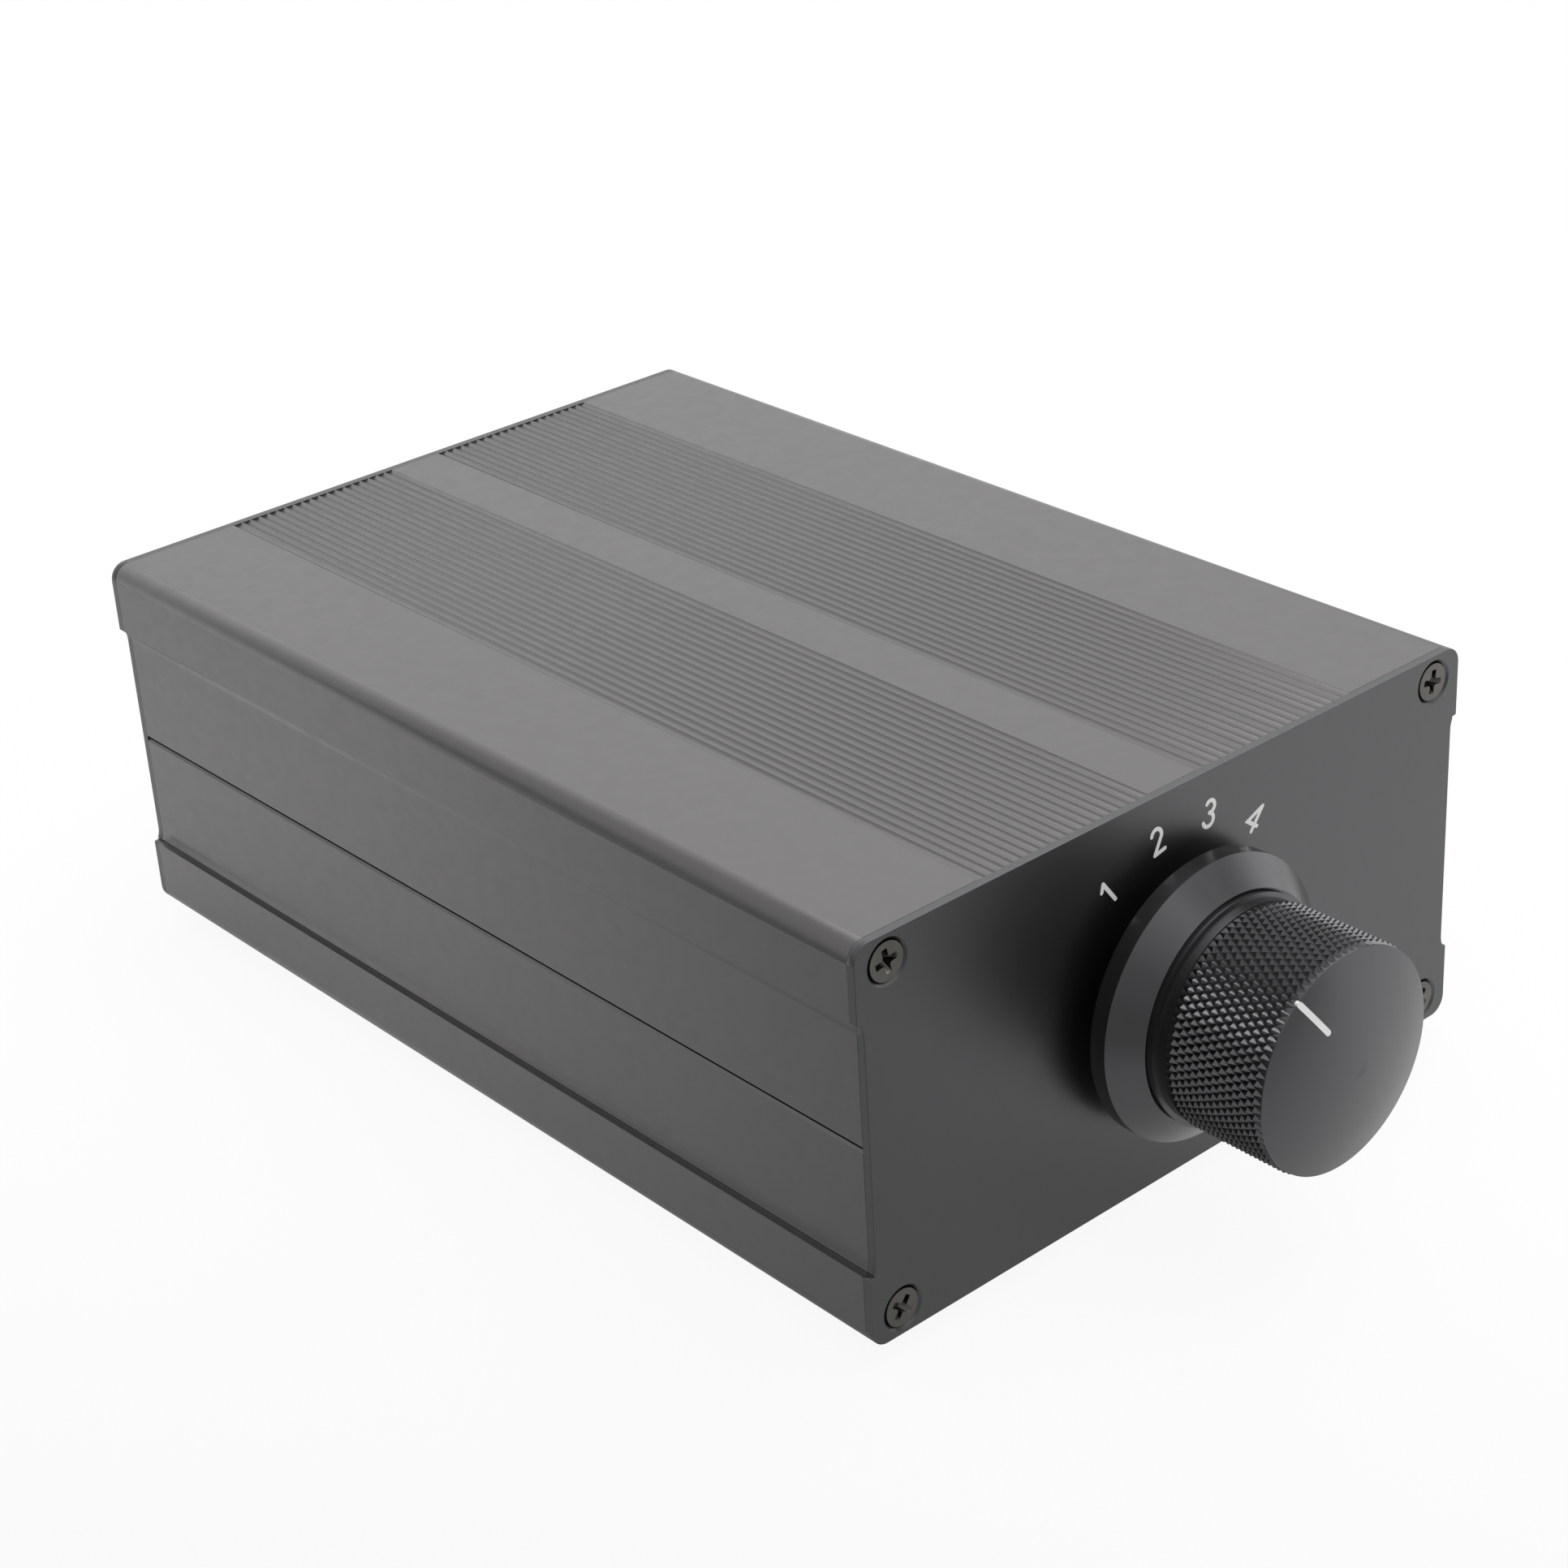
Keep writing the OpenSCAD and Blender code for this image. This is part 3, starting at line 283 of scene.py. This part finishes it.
# The front numerals: middle in mm and turn in degrees, clockwise from upright
FRONT_NUMERALS = (
    ("1", -12.4, 48.35, -36.6),
    ("2", -3.85, 51.9, -12.1),
    ("3", 5.35, 52.05, 12.1),
    ("4", 13.65, 48.2, 36.8),
)

# The rear numerals, over the four pairs of input sockets, in mm
SOCKET_PITCH = 18.0
REAR_NUMERAL_Z = 51.6


def stroke(mesh, line, width, height, place):
    """A flat band of one width along a line, with round ends, raised by height.

    place maps (x, z, lift) to the frame.
    """
    half = width / 2
    cap_steps = 6
    sharpest = 0.35    # limits how far the outer corner of a bend runs out
    points = [Vector(p) for p in line]
    left = []
    right = []
    for i, p in enumerate(points):
        into = (p - points[i - 1]).normalized() if i else None
        out = (points[i + 1] - p).normalized() if i + 1 < len(points) else None
        mean = ((into or out) + (out or into)).normalized()
        across = Vector((-mean.y, mean.x))
        reach = half / max(sharpest, (into.dot(mean) if into and out else 1.0))
        left.append(p + across * reach)
        right.append(p - across * reach)

    def cap(centre, along, first):
        start = math.atan2(along.y, along.x) + (math.pi / 2 if first else -math.pi / 2)
        turns = [start + math.pi * k / cap_steps for k in range(1, cap_steps)]
        return [centre + Vector((math.cos(t), math.sin(t))) * half for t in turns]

    tail = cap(points[0], (points[1] - points[0]).normalized(), True)
    head = cap(points[-1], (points[-1] - points[-2]).normalized(), False)
    ring = right + head + left[::-1] + tail
    low = [mesh.verts.new(place(p.x, p.y, 0.0)) for p in ring]
    top = [mesh.verts.new(place(p.x, p.y, height)) for p in ring]
    n = len(ring)
    for i in range(n):
        mesh.faces.new((low[i], low[(i + 1) % n], top[(i + 1) % n], top[i]))
    mesh.faces.new(top)
    mesh.faces.new(low[::-1])


def numeral(name, text, x, z, cap_height, width, turn=0.0, from_rear=False):
    """A printed numeral on the front plate, or on the rear plate as seen from behind, about its middle."""
    mesh = bmesh.new()
    cos = math.cos(math.radians(turn))
    sin = math.sin(math.radians(turn))

    def place(px, pz, lift):
        if from_rear:
            return Vector((x - px, REAR / MM + lift, z + pz)) * MM
        return Vector((x + px, FRONT / MM - lift, z + pz)) * MM

    for k, line in enumerate(NUMERALS[text]):
        scaled = [(px * cap_height, (pz - 0.5) * cap_height) for px, pz in line]
        turned = [(px * cos + pz * sin, pz * cos - px * sin) for px, pz in scaled]
        stroke(mesh, turned, width, INK + INK_STEP * k, place)
    bmesh.ops.recalc_face_normals(mesh, faces=mesh.faces)
    data = bpy.data.meshes.new(name)
    mesh.to_mesh(data)
    mesh.free()
    piece = bpy.data.objects.new(name, data)
    scene.collection.objects.link(piece)
    data.materials.append(MATERIALS["white_line"])
    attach(piece, "case")


def add_numerals():
    for text, x, z, turn in FRONT_NUMERALS:
        numeral("numeral_" + text, text, x, z, cap_height=3.9, width=0.55, turn=turn)
    for i in range(4):
        x = (i - 2) * SOCKET_PITCH
        name = "rear_numeral_%d" % (i + 1)
        numeral(name, str(i + 1), x, REAR_NUMERAL_Z, cap_height=3.0, width=0.45, from_rear=True)


# Floor, lamp and world

def make_floor():
    """White to the camera, with a faint shadow near the object.

    What the metal mirrors of it grows darker towards the front left, because the floor's colour carries a
    painted shade there.
    """
    side = 4.0
    front_left = (-0.83, -0.56, 0.0)
    pale = 0.92
    painted_shade_grey = 0.36
    mirrored_share = 0.5
    data = bpy.data.meshes.new("floor")
    corners = [(-side, -side, 0), (side, -side, 0), (side, side, 0), (-side, side, 0)]
    data.from_pydata(corners, [], [(0, 1, 2, 3)])
    floor = bpy.data.objects.new("floor", data)
    scene.collection.objects.link(floor)
    material, g = new_material("floor_paper")
    place = g.place()
    # Painted shade: the floor's colour falls from pale to dark grey towards the front left, standing in for
    # a shadow there
    painted_shade_mask = g.ramp(g.dot(place, front_left), 0, 1, start=0.03, end=0.13)
    tint = g.blend(painted_shade_mask, grey(pale), grey(painted_shade_grey))
    paint = {"Base Color": tint, "Roughness": 0.9, "Specular IOR Level": 0.1}
    lit = g.add("ShaderNodeBsdfPrincipled", paint).outputs["BSDF"]
    path = g.add("ShaderNodeLightPath").outputs
    # To mirrored rays the floor emits that painted shade, and to the camera it emits white
    paper_with_painted_shade = g.blend(path["Is Camera Ray"], tint, grey(1.0))
    white = g.add("ShaderNodeEmission", {"Color": paper_with_painted_shade, "Strength": 1.0}).outputs["Emission"]
    away = g.add("ShaderNodeVectorMath", {0: place}, operation="LENGTH").outputs["Value"]
    camera_share = g.ramp(away, 0.92, 1.0, start=0.12, end=0.5)
    share = g.maths("MULTIPLY", path["Is Camera Ray"], camera_share)
    for ray in ("Is Glossy Ray", "Is Transmission Ray"):
        share = g.maths("MAXIMUM", share, g.maths("MULTIPLY", path[ray], mirrored_share))
    mixed = g.add("ShaderNodeMixShader", {0: share, 1: lit, 2: white})
    g.add("ShaderNodeOutputMaterial", {"Surface": mixed.outputs["Shader"]})
    data.materials.append(material)


def make_lamp():
    """One soft box high on the right, so that the floor on the left and below the knob is in soft shade."""
    way = Vector((0.38, -0.14, 0.91)).normalized()
    distance = 1.2
    data = bpy.data.lights.new("soft_box", "AREA")
    data.shape = "SQUARE"
    data.size = 0.9
    data.energy = 5.4
    lamp = bpy.data.objects.new("soft_box", data)
    lamp.location = way * distance
    lamp.rotation_euler = way.to_track_quat("Z", "Y").to_euler()
    lamp.visible_camera = False
    scene.collection.objects.link(lamp)


# Strength of the world by direction: the middle of a patch, the cosines of the angles to it where the change
# starts and ends, and the strength, or the factor on it, before the start and after the end
LOW_BEHIND_RIGHT = ((0.50, 0.78, 0.30), 0.60, 0.98, 0.74, 1.22)
LOW_BEHIND_LEFT = ((-0.73, 0.68, 0.0), 0.90, 0.985, 1.0, 0.5)
LOW_FRONT_LEFT = ((-0.60, -0.75, 0.15), 0.50, 0.95, 1.0, 0.6)
LOW_RIGHT = ((0.93, -0.35, 0.05), 0.75, 0.98, 1.0, 1.7)
HIGH_FRONT = ((-0.10, -0.60, 0.79), 0.75, 0.95, 1.0, 1.5)
HIGH_FRONT_RIGHT = ((0.60, -0.52, 0.60), 0.84, 0.98, 1.0, 0.6)


def make_world():
    """A white studio with soft changes of strength, plain white to the camera."""
    world = bpy.data.worlds.new("studio")
    scene.world = world
    world.use_nodes = True
    g = Graph(world.node_tree)
    way = g.add("ShaderNodeTexCoord").outputs["Generated"]

    def patch(direction, start, end, low, high):
        near = g.dot(way, tuple(Vector(direction).normalized()))
        return g.ramp(near, low, high, start, end, interpolation_type="SMOOTHSTEP")

    strength = patch(*LOW_BEHIND_RIGHT)
    for change in (LOW_BEHIND_LEFT, LOW_FRONT_LEFT, LOW_RIGHT, HIGH_FRONT, HIGH_FRONT_RIGHT):
        strength = g.maths("MULTIPLY", strength, patch(*change))
    lit = g.add("ShaderNodeBackground", {"Color": grey(1.0), "Strength": strength}).outputs["Background"]
    plain = g.add("ShaderNodeBackground", {"Color": grey(1.0), "Strength": 1.0}).outputs["Background"]
    seen = g.add("ShaderNodeLightPath").outputs["Is Camera Ray"]
    mixed = g.add("ShaderNodeMixShader", {0: seen, 1: lit, 2: plain})
    g.add("ShaderNodeOutputWorld", {"Surface": mixed.outputs["Shader"]})


make_camera()
dress_nodes()
soften_edges()
add_numerals()
make_floor()
make_lamp()
make_world()
